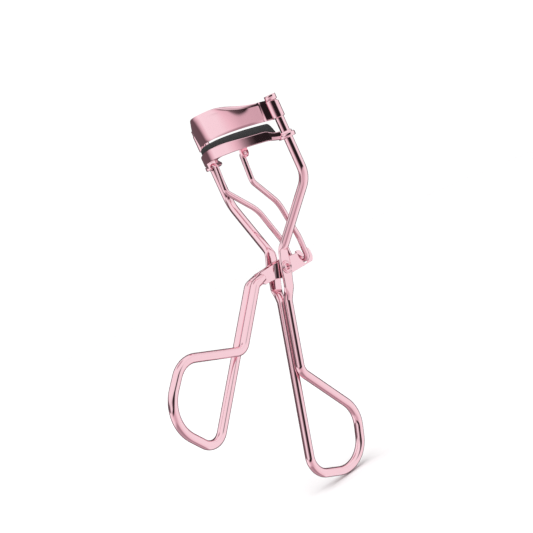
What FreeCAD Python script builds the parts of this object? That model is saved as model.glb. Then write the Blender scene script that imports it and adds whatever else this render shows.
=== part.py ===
import FreeCAD, Part
import math
import os

# Eyelash curler, millimetres. X is the pivot pin's axis, Z is the direction
# the guide rods run and the lower jaw travels, and -Y is the side the curved
# jaws bow towards. Everything is drawn about the pivot pin's centre and moved
# to the row frame at the end.
V = FreeCAD.Vector

# ---- driving dimensions ----
WIRE_R = 1.22            # frame and lever wire, radius
PAIR_X = 1.27            # half the pitch of the two wires lying side by side in a handle
ROD_X, ROD_Y = 15.4, 7.7  # guide rod axes
ROD_TOP = 40.70           # top of the guide rods, under the end caps
ROD_BEND_Z = 19.7        # corner where the rods turn in towards the pivot
ROD_BEND_R = 7.0
FRAME_LEAN = 19.3        # lean of the frame handle from the rod direction, degrees
EAR_IN, EAR_OUT = 2.08, 2.98   # inner and outer face of a flattened ear
EAR_HALF_W = 2.0
EAR_SIDE = 0.3           # the ears sit a little to the back of the pin
LEVER_LEAN = 45.0        # lean of the lever handle at rest
LEVER_OFF = 7.55         # distance of the lever handle's line from the pivot
JAW_CY = 14.2            # centre of the jaws' arc in plan
UPPER_R = 16.0           # outer face of the upper jaw plate
UPPER_T = 0.9
LOWER_R = 17.1           # outer face of the lower jaw channel
LOWER_IN_R = 13.3
SHEET = 0.6              # channel sheet
TILT = 0.21              # fall of the jaws' closing plane per mm of +Y
UPPER_EDGE_Z = 37.85     # upper plate's lower edge at the middle of the arc
CREST = 7.25             # upper plate's height at the middle
END_H = 5.2              # and at its ends
CHANNEL_Z = 32.95        # channel's lower face at the middle of the arc
CHANNEL_H = 3.0
PAD_Z = 37.35            # top of the pad at the middle of the arc
TAB_H = 1.2              # guide tab thickness
TAB_R = 2.2
ROD_CLEAR = 0.08
COLLAR_R = 1.7
COLLAR_DX, COLLAR_DY = -0.04, -0.03  # the rolled collar bulges towards the plate
COLLAR_Z0, COLLAR_Z1 = 36.0, 40.75
CAP_R, CAP_H = 1.55, 1.45
PIN_R = 0.95
HEAD_R, HEAD_T = 1.72, 0.62
BR_OUT, BR_IN = 2.0, 1.45    # bracket walls, half widths
BR_TOP, BR_BOT = 2.0, -2.3
BR_END = 11.45
TONGUE_OUT, TONGUE_IN = 1.35, 0.8
TONGUE_Y = -8.4
HOOK_Y, HOOK_Z = 8.4, -0.85   # push wire's crossbar
PUSH_R = 0.75
SEAT_R = 1.18
LUG_X0, LUG_X1 = 6.30, 6.95
LUG_Y, LUG_Z = -0.2, 31.45
LUG_R = 1.2
LUG_PIN_R = 0.55
LUG_Y_R = 15.6          # radius of the lugs' place under the channel
FLARE = 0.6              # outward flare of the upper plate's crest
SHIFT = V(0, 19.83, 56.30)       # pivot centre to row origin


def rounded(points, radii):
    """A wire through the points with each inner corner filleted."""
    pts = [V(*p) for p in points]
    edges = []
    last = pts[0]
    for i in range(1, len(pts) - 1):
        a = (pts[i - 1] - pts[i]).normalize()
        b = (pts[i + 1] - pts[i]).normalize()
        r = radii[i - 1]
        ang = a.getAngle(b)
        t = r / math.tan(ang / 2)
        p1, p2 = pts[i] + a * t, pts[i] + b * t
        bis = (a + b).normalize()
        centre = pts[i] + bis * (r / math.sin(ang / 2))
        mid = centre - bis * r
        if (p1 - last).Length > 1e-6:
            edges.append(Part.makeLine(last, p1))
        edges.append(Part.Arc(p1, mid, p2).toShape())
        last = p2
    if (pts[-1] - last).Length > 1e-6:
        edges.append(Part.makeLine(last, pts[-1]))
    return Part.Wire(edges)


def tube(path, r):
    e = path.Edges[0]
    start = e.valueAt(e.FirstParameter)
    tan = e.tangentAt(e.FirstParameter)
    prof = Part.Wire(Part.makeCircle(r, start, tan))
    mk = Part.BRepOffsetAPI.MakePipeShell(path)
    mk.setFrenetMode(False)
    mk.add(prof, False, False)
    mk.build()
    mk.makeSolid()
    s = mk.shape()
    return s if s.Volume > 0 else s.reversed()


def ring(centre, u, v, a, b, n, count=24):
    """Closed super-elliptic section with half sizes a along u and b along v."""
    pts = []
    for k in range(count):
        t = 2 * math.pi * k / count
        c, s = math.cos(t), math.sin(t)
        pts.append(centre + u * (a * math.copysign(abs(c) ** (2 / n), c))
                   + v * (b * math.copysign(abs(s) ** (2 / n), s)))
    bs = Part.BSplineCurve()
    bs.interpolate(pts, PeriodicFlag=True)
    return Part.Wire(bs.toShape())


def cyl(r, h, base, axis=V(0, 0, 1)):
    return Part.makeCylinder(r, h, base, axis)


def prism(points, x0, x1):
    """Y-Z outline extruded from x0 to x1."""
    poly = Part.makePolygon([V(x0, y, z) for y, z in points] + [V(x0, *points[0])])
    return Part.Face(poly).extrude(V(x1 - x0, 0, 0))


def mirror(s):
    return s.mirror(V(0, 0, 0), V(1, 0, 0))


def fuse(*shapes):
    s = shapes[0].multiFuse(list(shapes[1:]))
    s = s.removeSplitter()
    return s


def solid(s):
    if s.ShapeType == "Solid":
        return s
    sol = s.Solids
    return sol[0] if len(sol) == 1 else Part.makeCompound(sol)


# ---- frame: guide rods, ears, finger loop ----
fl = math.radians(FRAME_LEAN)
F_D = V(0, -math.sin(fl), -math.cos(fl))      # down the handle
F_W = V(0, math.cos(fl), -math.sin(fl))       # towards the loop's bulge


def fpt(x, s, w):
    p = F_D * s + F_W * w
    return (x, p.y, p.z)


EAR_X = (EAR_IN + EAR_OUT) / 2
EAR_TOP, EAR_LOW = -4.7, 5.2
NECK_S = 8.5


def ear():
    """Flattened stretch of the wire with the pivot hole, joined to the rod and handle."""
    top = V(*fpt(EAR_X, EAR_TOP, EAR_SIDE))
    rod_dir = (V(ROD_X, ROD_Y, ROD_BEND_Z) - top).normalize()
    low_dir = (V(*fpt(PAIR_X, NECK_S, 0)) - V(*fpt(EAR_X, EAR_LOW, 0))).normalize()
    side = V(1, 0, 0)

    def sec(centre, direction, a, b, n):
        d = direction.normalize()
        u = (F_W - d * F_W.dot(d)).normalize()
        v = d.cross(u).normalize()
        return ring(centre, u, v, a, b, n)

    up = F_D * -1
    w = EAR_SIDE
    secs = [
        sec(top + rod_dir * 1.9, rod_dir, WIRE_R * 0.985, WIRE_R * 0.985, 2),
        sec(V(*fpt(EAR_X + 0.2, EAR_TOP + 0.5, w)), (up + rod_dir) * 0.5, 1.45, 0.98, 2.1),
        sec(V(*fpt(EAR_X, -3.0, w)), V(up), 1.85, 0.60, 2.6),
        sec(V(*fpt(EAR_X, -1.2, w)), V(up), EAR_HALF_W, 0.52, 3.2),
        sec(V(*fpt(EAR_X, 1.3, w)), V(up), EAR_HALF_W, 0.52, 3.2),
        sec(V(*fpt(EAR_X, 3.2, w)), V(up), 1.9, 0.60, 2.6),
        sec(V(*fpt(EAR_X - 0.1, EAR_LOW - 0.3, w * 0.2)), (up - low_dir) * 0.5, 1.48, 0.95, 2.1),
        sec(V(*fpt(EAR_X, EAR_LOW, 0)) + low_dir * 1.7, low_dir * -1, WIRE_R * 0.985, WIRE_R * 0.985, 2),
    ]
    body = Part.makeLoft(secs, True, False)
    # flat bearing faces round the pin
    flat = 3.2
    for x0, x1 in ((EAR_OUT, EAR_OUT + 4), (EAR_IN - 4, EAR_IN)):
        c = [fpt(0, -flat, -4), fpt(0, -flat, 4), fpt(0, flat, 4), fpt(0, flat, -4)]
        body = body.cut(prism([(p[1], p[2]) for p in c], x0, x1))
    return body, top, rod_dir, low_dir


ear_body, ear_top, rod_dir, low_dir = ear()
rod_path = rounded(
    [(ROD_X, ROD_Y, ROD_TOP), (ROD_X, ROD_Y, ROD_BEND_Z), tuple(ear_top + rod_dir * 0.9)],
    [ROD_BEND_R])
rod = tube(rod_path, WIRE_R)
pin_hole = cyl(PIN_R + 0.02, 20, V(-10, 0, 0), V(1, 0, 0))
low_start = V(*fpt(EAR_X, EAR_LOW, 0)) + low_dir * 1.0
SPLIT = 10.5             # where the rods' wire is parted from the loop's wire
neck = tube(rounded([tuple(low_start), fpt(PAIR_X, NECK_S, 0), fpt(PAIR_X, SPLIT, 0)], [1.8]), WIRE_R)
guide_rod_right = solid(fuse(rod, ear_body, neck).cut(pin_hole))
guide_rod_left = solid(mirror(guide_rod_right))

frame_loop = tube(rounded(
    [fpt(PAIR_X, SPLIT, 0), fpt(PAIR_X, 27.3, 0), fpt(1.1, 39.6, 17.55), fpt(-0.2, 55.1, 17.4),
     fpt(-PAIR_X, 53.9, 0), fpt(-PAIR_X, SPLIT, 0)],
    [3.4, 8.0, 8.0, 5.0]), WIRE_R)

# ---- lever: finger loop and folded bracket ----
ll = math.radians(LEVER_LEAN)
L_D = V(0, -math.sin(ll), -math.cos(ll))
L_W = V(0, -math.cos(ll), math.sin(ll))
L_O = L_W * LEVER_OFF


def lpt(x, s, w):
    p = L_O + L_D * s + L_W * w
    return (x, p.y, p.z)


TENON_Z = 0.45
shoulder_y = TONGUE_Y + 0.75
elbow = lpt(PAIR_X, 7.7, 0)
lever_path = rounded(
    [(PAIR_X, shoulder_y, TENON_Z), elbow, lpt(PAIR_X, 26.0, 0), lpt(1.1, 34.5, 17.5),
     lpt(-0.2, 50.5, 17.15), lpt(-PAIR_X, 51.8, 0), (-PAIR_X, elbow[1], elbow[2]),
     (-PAIR_X, shoulder_y, TENON_Z)],
    [2.6, 3.2, 6.5, 9.4, 4.5, 2.6])
lever_wire = tube(lever_path, WIRE_R)
tenon = prism([(shoulder_y - 0.6, TENON_Z - 0.95), (shoulder_y + 1.6, TENON_Z - 1.45), (-4.4, TENON_Z - 1.45),
               (-4.4, TENON_Z + 1.45), (shoulder_y + 1.6, TENON_Z + 1.45), (shoulder_y - 0.6, TENON_Z + 0.95)],
              0.06, TONGUE_IN - 0.02)
# each wire end is slotted to take the bracket's tongue
slot = prism([(-1.88, BR_TOP + 0.02), (-3.6, BR_BOT + 0.68), (-7.52, BR_BOT + 0.78), (-8.23, -1.07),
              (-8.08, 1.52), (-7.61, 1.83)], TONGUE_IN - 0.015, TONGUE_OUT + 0.02)
lever_wire = lever_wire.cut(slot).cut(mirror(slot))
lever_finger_loop = solid(fuse(lever_wire, tenon, mirror(tenon)))


def wall():
    """One side of the bracket: crimped tongue, slanted shoulder, wall with the pin hole and the open seat."""
    low, top = BR_BOT, BR_TOP
    out = prism([(-0.9, top), (-2.55, low + 0.7), (-1.9, low + 0.25), (-0.5, low), (BR_END - 0.9, low - 0.05),
                 (BR_END - 0.15, -1.75), (BR_END + 0.1, -0.4), (BR_END - 0.15, 1.1), (BR_END - 0.55, 1.45),
                 (9.6, 1.62), (6.3, 1.72), (3.2, top)], BR_IN, BR_OUT)
    seat = cyl(SEAT_R, 5, V(0, HOOK_Y, HOOK_Z), V(1, 0, 0))
    throat = prism([(HOOK_Y - SEAT_R * 0.78, HOOK_Z + SEAT_R * 0.62), (6.2, 2.4), (9.6, 2.4),
                    (HOOK_Y + SEAT_R, HOOK_Z)], 0, 5)
    out = out.cut(seat).cut(throat)
    tongue = prism([(-1.9, top), (-3.6, low + 0.7), (-7.5, low + 0.8), (-8.2, -1.05),
                    (-8.05, 1.5), (-7.6, 1.8)], TONGUE_IN, TONGUE_OUT)

    # slanted shoulder between the two planes, leaning with the wall's front edge
    def level(z):
        f = (top - z) / (top - (low + 0.7)) * 1.7
        return [V(TONGUE_OUT, -1.95 - f, z), V(BR_OUT, -0.85 - f, z),
                V(BR_IN, -0.45 - f, z), V(TONGUE_IN, -1.5 - f, z)]
    a, b = level(top), level(low + 0.7)
    joint = Part.makeLoft([Part.makePolygon(a + [a[0]]), Part.makePolygon(b + [b[0]])], True, True)
    return out, tongue, joint


w_out, w_tongue, w_joint = wall()
web = Part.makeBox(2 * BR_OUT, 6.6, 0.65, V(-BR_OUT, -0.6, BR_BOT))
bracket = fuse(w_out, w_tongue, w_joint, mirror(w_out), mirror(w_tongue), mirror(w_joint), web)
bracket = bracket.cut(cyl(PIN_R + 0.07, 20, V(-10, 0, 0), V(1, 0, 0)))
lever_bracket = solid(bracket)

# ---- push wire: crossbar in the bracket's seats, two S-bent arms, ends in the jaw's lugs ----
ARM_X = 3.05
ARM_TOP_X = 5.50
half = [(0, HOOK_Y, HOOK_Z), (ARM_X, HOOK_Y, HOOK_Z), (ARM_X + 0.1, 8.45, 5.2), (4.2, 5.75, 15.9), (ARM_TOP_X, -0.75, 23.9),
        (ARM_TOP_X, LUG_Y, LUG_Z), (LUG_X0 - 0.08, LUG_Y, LUG_Z)]
half_path = rounded(half, [1.1, 9.0, 9.0, 2.6, 0.72])
arm = tube(half_path, PUSH_R)
end_pin = cyl(LUG_PIN_R, LUG_X1 - LUG_X0 + 0.35, V(LUG_X0 - 0.3, LUG_Y, LUG_Z), V(1, 0, 0))
push_half = arm.fuse(end_pin)
push_wire = solid(fuse(push_half, mirror(push_half)))

# ---- pivot rivet with tubular ends ----
shank = cyl(PIN_R, 2 * (EAR_OUT + 0.02), V(-EAR_OUT - 0.02, 0, 0), V(1, 0, 0))
head = cyl(HEAD_R, HEAD_T, V(EAR_OUT + 0.02, 0, 0), V(1, 0, 0))
rim = [e for e in head.Edges if abs(e.BoundBox.XMin - (EAR_OUT + 0.02 + HEAD_T)) < 1e-6]
head = head.makeFillet(0.42, rim)
bore = cyl(0.78, 1.4, V(EAR_OUT + HEAD_T - 0.9, 0, 0), V(1, 0, 0))
pivot_rivet = solid(fuse(shank, head, mirror(head)).cut(bore).cut(mirror(bore)))

# ---- jaws: sections swept round the arc in plan ----
def swept(section, half_angle, steps):
    """Loft of closed Y-Z style outlines given as (radius, z) at each angle round the jaws' centre."""
    wires = []
    for k in range(steps + 1):
        a = math.radians(-half_angle + 2 * half_angle * k / steps)
        pts = [V(r * math.sin(a), JAW_CY - r * math.cos(a), z) for r, z in section(a)]
        wires.append(Part.makePolygon(pts + [pts[0]]))
    return Part.makeLoft(wires, True, False)


def fall(a, r):
    """Drop of the jaws' tilted plane at this angle from its height at the middle."""
    return TILT * r * (1 - math.cos(a))


def smooth(t):
    t = max(0.0, min(1.0, t))
    return t * t * (3 - 2 * t)


# ---- upper jaw plate with the collars that grip the rods ----
def plate_section(a):
    z0 = UPPER_EDGE_Z - fall(a, UPPER_R)
    x = abs(UPPER_R * math.sin(a))
    h = END_H + (CREST - END_H) * (1 - smooth(x / 13.0)) + 0.55 * smooth(x / 6) * (1 - smooth((x - 6) / 7))
    flare = FLARE * (1 - smooth((x - 4.5) / 5.0))
    curl = 0.22 * smooth((x - 3.5) / 4) * (1 - smooth((x - 9.5) / 3.0))
    outer, inner = [], []
    deg = abs(math.degrees(a))
    jog = 0.4 * smooth((deg - 54.2) / 2.0)
    lean = 0.5 * (1 - smooth((deg - 54.5) / 2.0))
    for t in (0.0, 0.3, 0.55, 0.75, 0.9, 1.0):
        out = jog + lean * t + flare * t ** 2.6 - curl * t ** 5
        outer.append((UPPER_R + out, z0 + h * t))
        inner.append((UPPER_R + out - UPPER_T, z0 + h * t))
    return outer + inner[::-1]


plate = swept(plate_section, 63.5, 60)
CX, CY = ROD_X + COLLAR_DX, ROD_Y + COLLAR_DY
collar = cyl(COLLAR_R, ROD_TOP - 0.01 - COLLAR_Z0, V(CX, CY, COLLAR_Z0))
slope = Part.Face(Part.makePolygon([V(0, CY - 3, COLLAR_Z1 + 0.45), V(0, CY + 3, COLLAR_Z1 - 0.95), V(0, CY + 3, 50),
                                    V(0, CY - 3, 50), V(0, CY - 3, COLLAR_Z1 + 0.45)])).extrude(V(40, 0, 0))
collar = collar.cut(slope)
upper = fuse(plate, collar, mirror(collar))
rod_hole = cyl(WIRE_R + 0.01, 40, V(ROD_X, ROD_Y, 15))
cap_room = cyl(CAP_R + 0.03, 5, V(ROD_X, ROD_Y, ROD_TOP - 0.005))
upper_jaw_plate = solid(upper.cut(rod_hole).cut(mirror(rod_hole)).cut(cap_room).cut(mirror(cap_room)))

# ---- rod end caps ----
cap = cyl(CAP_R, CAP_H, V(ROD_X, ROD_Y, ROD_TOP + 0.01))
rim = [e for e in cap.Edges if abs(e.BoundBox.ZMin - (ROD_TOP + 0.01 + CAP_H)) < 1e-6]
cap = cap.makeFillet(0.45, rim)
rod_end_caps = Part.makeCompound([cap, mirror(cap)])


# ---- lower jaw channel with guide tabs ----
def channel_section(a):
    x = abs(LOWER_R * math.sin(a))
    z0 = CHANNEL_Z - fall(a, LOWER_R)
    z1 = z0 + CHANNEL_H - 0.45 * smooth((x - 2.0) / 9.0) - 0.85 * smooth((x - 13.0) / 1.5)
    z0 = z0 - 0.35 * smooth((x - 12.6) / 2.6)
    hi = 2.0 + (SHEET + 0.05 - 2.0) * smooth((x - 11.4) / 2.0)
    r0, r1 = LOWER_IN_R, LOWER_R
    return [(r1, z0), (r1, z1), (r1 - SHEET, z1), (r1 - SHEET, z0 + SHEET),
            (r0 + SHEET, z0 + SHEET), (r0 + SHEET, z0 + hi), (r0, z0 + hi), (r0, z0)]


channel_band = swept(channel_section, 62.0, 28)
TAB_Z = 30.45
tab_disc = cyl(TAB_R, TAB_H, V(ROD_X, ROD_Y, TAB_Z))
root = Part.Face(Part.makePolygon([V(x, y, TAB_Z) for x, y in (
    (14.9, 5.55), (17.0, 6.1), (17.6, 7.7), (14.0, 9.4), (13.2, 8.4), (11.85, 7.85), (14.9, 5.55))])).extrude(V(0, 0, TAB_H))
lip = cyl(1.65, TAB_H + 0.55, V(ROD_X, ROD_Y, TAB_Z))
channel = fuse(channel_band, tab_disc, mirror(tab_disc), root, mirror(root), lip, mirror(lip))
guide_hole = cyl(WIRE_R + ROD_CLEAR, 40, V(ROD_X, ROD_Y, 15))
lower_jaw_channel = solid(channel.cut(guide_hole).cut(mirror(guide_hole)))


# ---- pad in the channel ----
def pad_section(a):
    base = CHANNEL_Z - fall(a, LOWER_R) + SHEET + 0.03
    t = PAD_Z - fall(a, LOWER_R)
    e = max(0.0, (abs(math.degrees(a)) - 54.5) / 6.0)
    t = t - 2.9 * e ** 2.4
    t = max(t, base + 0.8)
    r0, r1 = LOWER_IN_R + SHEET + 0.03, LOWER_R - SHEET - 0.03
    w = min(0.5, (t - base) * 0.4)
    return [(r1, base), (r1, t - w), (r1 - 0.22, t - 0.25 * w), (r1 - 0.6, t), (r0 + 0.6, t), (r0 + 0.22, t - 0.25 * w),
            (r0, t - w), (r0, base)]


jaw_pad = solid(swept(pad_section, 60.5, 44))


# ---- lugs under the channel ----
def lug():
    hang = 33.6
    plate = prism([(LUG_Y - LUG_R, LUG_Z), (LUG_Y - LUG_R, hang), (LUG_Y + LUG_R, hang), (LUG_Y + LUG_R, LUG_Z)],
                  LUG_X0, LUG_X1)
    eye = cyl(LUG_R, LUG_X1 - LUG_X0, V(LUG_X0, LUG_Y, LUG_Z), V(1, 0, 0))
    top_at = lambda x: CHANNEL_Z - 0.012 - fall(math.asin(x / (LUG_Y_R)), LOWER_R)
    cutter = Part.Face(Part.makePolygon([V(LUG_X0 - 1, -20, top_at(LUG_X0 - 1)), V(LUG_X1 + 1, -20, top_at(LUG_X1 + 1)),
                                         V(LUG_X1 + 1, -20, 60), V(LUG_X0 - 1, -20, 60),
                                         V(LUG_X0 - 1, -20, top_at(LUG_X0 - 1))])).extrude(V(0, 40, 0))
    s = plate.fuse(eye).cut(cutter)
    return solid(s.cut(cyl(LUG_PIN_R + 0.06, 5, V(LUG_X0 - 1, LUG_Y, LUG_Z), V(1, 0, 0))).removeSplitter())


link_lug_right = lug()
link_lug_left = solid(mirror(link_lug_right))

NODES = {
    "guide_rod_right": guide_rod_right,
    "guide_rod_left": guide_rod_left,
    "frame_finger_loop": frame_loop,
    "upper_jaw_plate": upper_jaw_plate,
    "rod_end_caps": rod_end_caps,
    "pivot_rivet": pivot_rivet,
    "lever_finger_loop": lever_finger_loop,
    "lever_bracket": lever_bracket,
    "push_wire": push_wire,
    "lower_jaw_channel": lower_jaw_channel,
    "jaw_pad": jaw_pad,
    "link_lug_right": link_lug_right,
    "link_lug_left": link_lug_left,
}

os.makedirs("parts", exist_ok=True)
box = None
for name, shape in NODES.items():
    moved = shape.copy()
    moved.translate(SHIFT)
    bb = moved.optimalBoundingBox(False, False)
    print("%-20s valid=%s solids=%d vol=%.2f box=[%.2f %.2f %.2f | %.2f %.2f %.2f]" % (
        name, moved.isValid(), len(moved.Solids), moved.Volume, bb.XMin, bb.YMin, bb.ZMin, bb.XMax, bb.YMax, bb.ZMax))
    if box is None:
        box = FreeCAD.BoundBox(bb)
    else:
        box.add(bb)
    moved.exportStep("parts/%s.step" % name)
print("all", [round(v, 3) for v in (box.XMin, box.YMin, box.ZMin, box.XMax, box.YMax, box.ZMax)])
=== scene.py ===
import bpy
import bmesh
import math
from mathutils import Matrix, Vector


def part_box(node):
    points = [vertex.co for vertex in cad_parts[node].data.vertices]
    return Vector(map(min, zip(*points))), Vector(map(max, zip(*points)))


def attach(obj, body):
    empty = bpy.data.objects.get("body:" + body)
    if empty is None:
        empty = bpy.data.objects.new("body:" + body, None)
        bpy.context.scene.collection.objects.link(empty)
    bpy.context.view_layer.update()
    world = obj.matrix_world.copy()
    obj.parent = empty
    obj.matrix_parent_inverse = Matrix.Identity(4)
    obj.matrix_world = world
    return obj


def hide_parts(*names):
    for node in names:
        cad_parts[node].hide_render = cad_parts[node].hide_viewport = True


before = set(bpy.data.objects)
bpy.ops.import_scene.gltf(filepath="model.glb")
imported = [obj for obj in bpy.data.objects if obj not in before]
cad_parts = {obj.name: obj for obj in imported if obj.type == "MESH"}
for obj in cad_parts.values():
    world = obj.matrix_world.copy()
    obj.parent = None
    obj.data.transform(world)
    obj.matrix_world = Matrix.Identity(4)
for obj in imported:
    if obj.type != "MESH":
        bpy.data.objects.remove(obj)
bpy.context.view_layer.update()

# The pieces are drawn in millimetres about the pivot pin's centre: X along the
# pin, Z along the guide rods, -Y the side the jaws bow towards. new_piece then
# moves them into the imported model's frame, in metres.
low_corner, high_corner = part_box("pivot_rivet")
PIVOT = (low_corner + high_corner) / 2
MM = 0.001

# ---- sizes, as in the part ----
WIRE_R = 1.22                      # frame and lever wire
PAIR_X = 1.27                      # middle to each of two wires side by side
ROD_X, ROD_Y = 15.4, 7.7
ROD_TOP = 40.7
ROD_BEND_Z = 19.7
ROD_BEND_R = 7.0
FRAME_LEAN = math.radians(19.3)    # frame wire under the pivot, off the vertical
LEVER_LEAN = math.radians(45.0)    # lever wire, off the vertical
LEVER_OFF = 7.55                   # from the pin to the lever wire's line
EAR_X = 2.53
EAR_HALF_T = 0.45
EAR_HALF_W = 2.0
EAR_SIDE = 0.3
EAR_TOP, EAR_LOW, NECK_S, SPLIT = -4.7, 5.2, 8.5, 10.5
JAW_CY = 14.2                      # centre of the jaws' arc in plan
UPPER_R, UPPER_T = 16.0, 0.9
LOWER_R, LOWER_IN_R, SHEET = 17.1, 13.3, 0.6
TILT = 0.21
UPPER_EDGE_Z, CREST, END_H, FLARE = 37.85, 7.25, 5.2, 0.6
CHANNEL_Z, CHANNEL_H, PAD_Z = 32.95, 3.0, 37.35
TAB_Z, TAB_H, TAB_R = 30.45, 1.2, 2.2
COLLAR_R, COLLAR_Z0, COLLAR_Z1 = 1.7, 36.0, 40.75
COLLAR_X, COLLAR_Y = ROD_X - 0.04, ROD_Y - 0.03
CAP_R, CAP_H = 1.55, 1.45
PIN_R, HEAD_R, HEAD_T, EAR_OUT = 0.95, 1.72, 0.62, 2.98
BR_OUT, BR_IN, BR_TOP, BR_BOT = 2.0, 1.45, 2.0, -2.3
TONGUE_OUT, TONGUE_IN = 1.35, 0.8
HOOK_Y, HOOK_Z, SEAT_R = 8.4, -0.85, 1.18
PUSH_R = 0.75
ARM_X, ARM_TOP_X = 3.05, 5.5
LUG_X0, LUG_X1, LUG_Y, LUG_Z, LUG_R, LUG_PIN_R = 6.30, 6.95, -0.2, 31.45, 1.2, 0.55
FIT = 0.02                         # gap between parts that lie against each other

X_AXIS, Z_AXIS = Vector((1, 0, 0)), Vector((0, 0, 1))
F_D = Vector((0, -math.sin(FRAME_LEAN), -math.cos(FRAME_LEAN)))
F_W = Vector((0, math.cos(FRAME_LEAN), -math.sin(FRAME_LEAN)))
L_D = Vector((0, -math.sin(LEVER_LEAN), -math.cos(LEVER_LEAN)))
L_W = Vector((0, -math.cos(LEVER_LEAN), math.sin(LEVER_LEAN)))


def fpt(x, s, w):
    """A point on the frame: x, s down its lean from the pin, w across it."""
    return X_AXIS * x + F_D * s + F_W * w


def lpt(x, s, w):
    """A point on the lever: x, s down its lean, w across it from the wire's line."""
    return X_AXIS * x + L_D * s + L_W * (LEVER_OFF + w)


def smooth(t):
    t = max(0.0, min(1.0, t))
    return t * t * (3 - 2 * t)


def swell(x, start, rise, end, drop):
    """0 before start, 1 after start + rise, and 0 again after end + drop."""
    return smooth((x - start) / rise) * (1 - smooth((x - end) / drop))


def fall(a, r):
    """How far the jaws' edges come down at angle a of their arc."""
    return TILT * r * (1 - math.cos(a))


def circle(n):
    """Cosine and sine at n even steps of a full turn."""
    angles = [2 * math.pi * k / n for k in range(n)]
    return [(math.cos(t), math.sin(t)) for t in angles]


def arc_points(centre, r, start, turn, steps):
    """Points on an arc, its start and turn in degrees."""
    angles = [math.radians(start + turn * k / steps) for k in range(steps + 1)]
    return [(centre[0] + r * math.cos(t), centre[1] + r * math.sin(t)) for t in angles]


# ---- materials ----
BRIGHT_CHROME = (0.985, 0.670, 0.735)
WIRE_DEEP, SHEET_DEEP = (0.965, 0.640, 0.705), (0.950, 0.615, 0.685)
WIRE_ROUGH, SHEET_ROUGH, HAZE = 0.03, 0.05, 0.03
SEAM_GAP = 0.0005                  # painted shade: seams narrower than this, in metres, are darkened
SEAM_SHADE_TINT = (0.22, 0.16, 0.17)
RUBBER_DARK, RUBBER_DUST = (0.020, 0.021, 0.022), (0.042, 0.043, 0.045)
FLOOR_DARK, FLOOR_LIGHT = (0.90, 0.90, 0.90), (0.94, 0.94, 0.94)
BLACK, WHITE = (0, 0, 0), (1, 1, 1)
ALL = 1.0                          # mixing factor that takes everything


def node_material(name):
    m = bpy.data.materials.new(name)
    m.use_nodes = True
    nt = m.node_tree
    return m, nt, nt.nodes["Principled BSDF"]


def add(nt, kind, **inputs):
    """A new node with input values; an underscore in a key stands for a space."""
    n = nt.nodes.new(kind)
    for key, value in inputs.items():
        n.inputs[key.replace("_", " ")].default_value = value
    return n


def object_noise(nt, where, scale, detail):
    """Noise that stays put on the piece; scale is in waves a metre."""
    n = add(nt, "ShaderNodeTexNoise", Scale=scale, Detail=detail)
    nt.links.new(where.outputs["Object"], n.inputs["Vector"])
    return n.outputs["Fac"]


def colour_ramp(nt, source, stops):
    """A ramp through (position, colour) stops."""
    n = nt.nodes.new("ShaderNodeValToRGB")
    elements = n.color_ramp.elements
    elements.remove(elements[1])
    for k, (position, colour) in enumerate(stops):
        e = elements.new(position) if k else elements[0]
        e.position = position
        e.color = (*colour, 1)
    nt.links.new(source, n.inputs["Fac"])
    return n.outputs["Color"]


def colour_mix(nt, factor, a, b, mode="MIX"):
    """A mixed with b; the factor is a socket or a number."""
    n = nt.nodes.new("ShaderNodeMix")
    n.data_type = "RGBA"
    n.blend_type = mode
    if isinstance(factor, float):
        n.inputs["Factor"].default_value = factor
    else:
        nt.links.new(factor, n.inputs["Factor"])
    nt.links.new(a, n.inputs["A"])
    nt.links.new(b, n.inputs["B"])
    return n.outputs["Result"]


def fine_bump(nt, shader, source, strength, distance):
    bump = add(nt, "ShaderNodeBump", Strength=strength, Distance=distance)
    nt.links.new(source, bump.inputs["Height"])
    nt.links.new(bump.outputs["Normal"], shader.inputs["Normal"])


def pink_chrome(name, rough, deep):
    """Polished rose chrome: faint tone drift, hazy patches, fine polishing lines, painted shade in
    narrow seams.
    """
    m, nt, b = node_material(name)
    link = nt.links.new
    where = nt.nodes.new("ShaderNodeTexCoord")
    drift = object_noise(nt, where, scale=55.0, detail=3.0)
    tone = colour_ramp(nt, drift, [(0.3, deep), (0.7, BRIGHT_CHROME)])
    # painted shade: an ambient occlusion node darkens the base colour in seams and gaps narrower
    # than SEAM_GAP
    seam = add(nt, "ShaderNodeAmbientOcclusion", Distance=SEAM_GAP)
    seam.samples = 6
    seam_shade = colour_ramp(nt, seam.outputs["AO"], [(0.25, SEAM_SHADE_TINT), (0.62, WHITE)])
    link(colour_mix(nt, ALL, tone, seam_shade, "MULTIPLY"), b.inputs["Base Color"])
    level = add(nt, "ShaderNodeMapRange",
                From_Min=0.3, From_Max=0.75, To_Min=rough, To_Max=rough + HAZE)
    haze = object_noise(nt, where, scale=420.0, detail=5.0)
    link(haze, level.inputs["Value"])
    link(level.outputs["Result"], b.inputs["Roughness"])
    lines = object_noise(nt, where, scale=2600.0, detail=2.0)
    fine_bump(nt, b, lines, strength=0.02, distance=0.00001)
    b.inputs["Metallic"].default_value = 1.0
    return m


def pad_rubber(name):
    """Charcoal silicone: matt, fine moulded grain, slightly paler dust in the high spots."""
    m, nt, b = node_material(name)
    where = nt.nodes.new("ShaderNodeTexCoord")
    dust = object_noise(nt, where, scale=900.0, detail=6.0)
    tone = colour_ramp(nt, dust, [(0.0, RUBBER_DARK), (1.0, RUBBER_DUST)])
    nt.links.new(tone, b.inputs["Base Color"])
    grain = object_noise(nt, where, scale=5200.0, detail=3.0)
    fine_bump(nt, b, grain, strength=0.35, distance=0.00004)
    b.inputs["Roughness"].default_value = 0.55
    b.inputs["Specular IOR Level"].default_value = 0.35
    return m


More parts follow.
